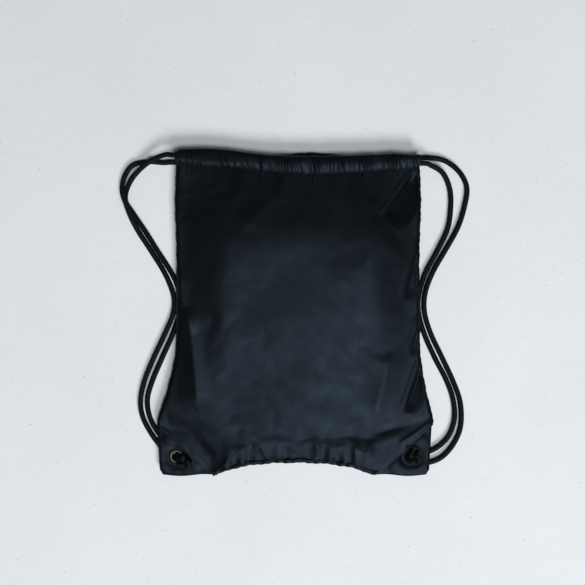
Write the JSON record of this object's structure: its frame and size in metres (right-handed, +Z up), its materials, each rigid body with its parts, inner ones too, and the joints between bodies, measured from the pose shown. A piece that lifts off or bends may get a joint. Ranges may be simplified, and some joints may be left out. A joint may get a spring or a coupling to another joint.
{
  "type": "drawstring backpack",
  "caption": "Flat nylon drawstring backpack with a gathered mouth, corner grommets and doubled braided cords that draw the mouth shut and serve as shoulder straps.",
  "frame": {"origin": "on the surface the bag lies on, under the middle of the bag's outline without its cords", "axes": "+X across the bag to its right as seen from the front, +Y from the bottom seam to the gathered mouth, +Z up out of the front panel"},
  "size_m": [0.4536, 0.4197, 0.0257],
  "materials": {
    "panel_nylon": "satin",
    "casing_nylon": "satin",
    "seam_nylon": "satin",
    "patch_nylon": "satin",
    "grommet_metal": "polished",
    "cord_braid": "matte",
    "cord_tip": "satin",
    "thread": "matte"
  },
  "bodies": {
    "bag": {"back_panel": "panel_nylon", "back_casing": "casing_nylon", "bottom_seam": "seam_nylon", "back_casing_stitching": "thread", "bottom_stitching": "thread"},
    "front": {"front_panel": "panel_nylon", "front_casing": "casing_nylon", "front_casing_stitching": "thread"},
    "left_side": {"left_side_seam": "seam_nylon", "left_corner_patch": "patch_nylon", "left_grommet": "grommet_metal", "left_grommet_washer": "grommet_metal", "left_patch_stitching": "thread", "left_bartack": "thread"},
    "right_side": {"right_side_seam": "seam_nylon", "right_corner_patch": "patch_nylon", "right_grommet": "grommet_metal", "right_grommet_washer": "grommet_metal", "right_patch_stitching": "thread", "right_bartack": "thread"},
    "left_cord": {"left_cord": "cord_braid"},
    "right_cord": {"right_cord": "cord_braid"},
    "left_knot": {"left_knot": "cord_braid", "left_cord_neck": "cord_braid", "left_cord_tips": "cord_tip"},
    "right_knot": {"right_knot": "cord_braid", "right_cord_neck": "cord_braid", "right_cord_tips": "cord_tip"}
  },
  "joints": [
    {"name": "mouth_open", "type": "hinge", "parent": "bag", "child": "front", "pos_m": [0, -0.2, 0.0154], "axis": [1, 0, 0], "range_deg": [0, 4], "deforming": ["front_panel", "front_casing", "front_casing_stitching"]},
    {"name": "left_cord_draw", "type": "slide", "parent": "bag", "child": "left_cord", "axis": [-1, 0, 0], "range_m": [-0.015, 0.06], "deforming": ["left_cord"]},
    {"name": "right_cord_draw", "type": "slide", "parent": "bag", "child": "right_cord", "axis": [1, 0, 0], "range_m": [-0.015, 0.06], "deforming": ["right_cord"]},
    {"name": "right_side_gather", "type": "hinge", "parent": "bag", "child": "right_side", "pos_m": [0.151, -0.187, 0.0096], "axis": [0, 0, 1], "range_deg": [-2.3, 9.1], "deforming": ["back_panel", "back_casing", "back_casing_stitching"]},
    {"name": "left_side_gather", "type": "hinge", "parent": "bag", "child": "left_side", "pos_m": [-0.153, -0.187, 0.0096], "axis": [0, 0, -1], "range_deg": [-2.3, 9.1]},
    {"name": "left_knot_lift", "type": "slide", "parent": "bag", "child": "left_knot", "axis": [0, 0, 1], "range_m": [0, 0.012], "deforming": ["left_cord_neck"]},
    {"name": "right_knot_lift", "type": "slide", "parent": "bag", "child": "right_knot", "axis": [0, 0, 1], "range_m": [0, 0.012], "deforming": ["right_cord_neck"]}
  ],
  "couplings": [
    {"joint": "right_side_gather", "follows": "left_cord_draw", "rad_per_m": 2.58},
    {"joint": "left_side_gather", "follows": "right_cord_draw", "rad_per_m": 2.58}
  ]
}
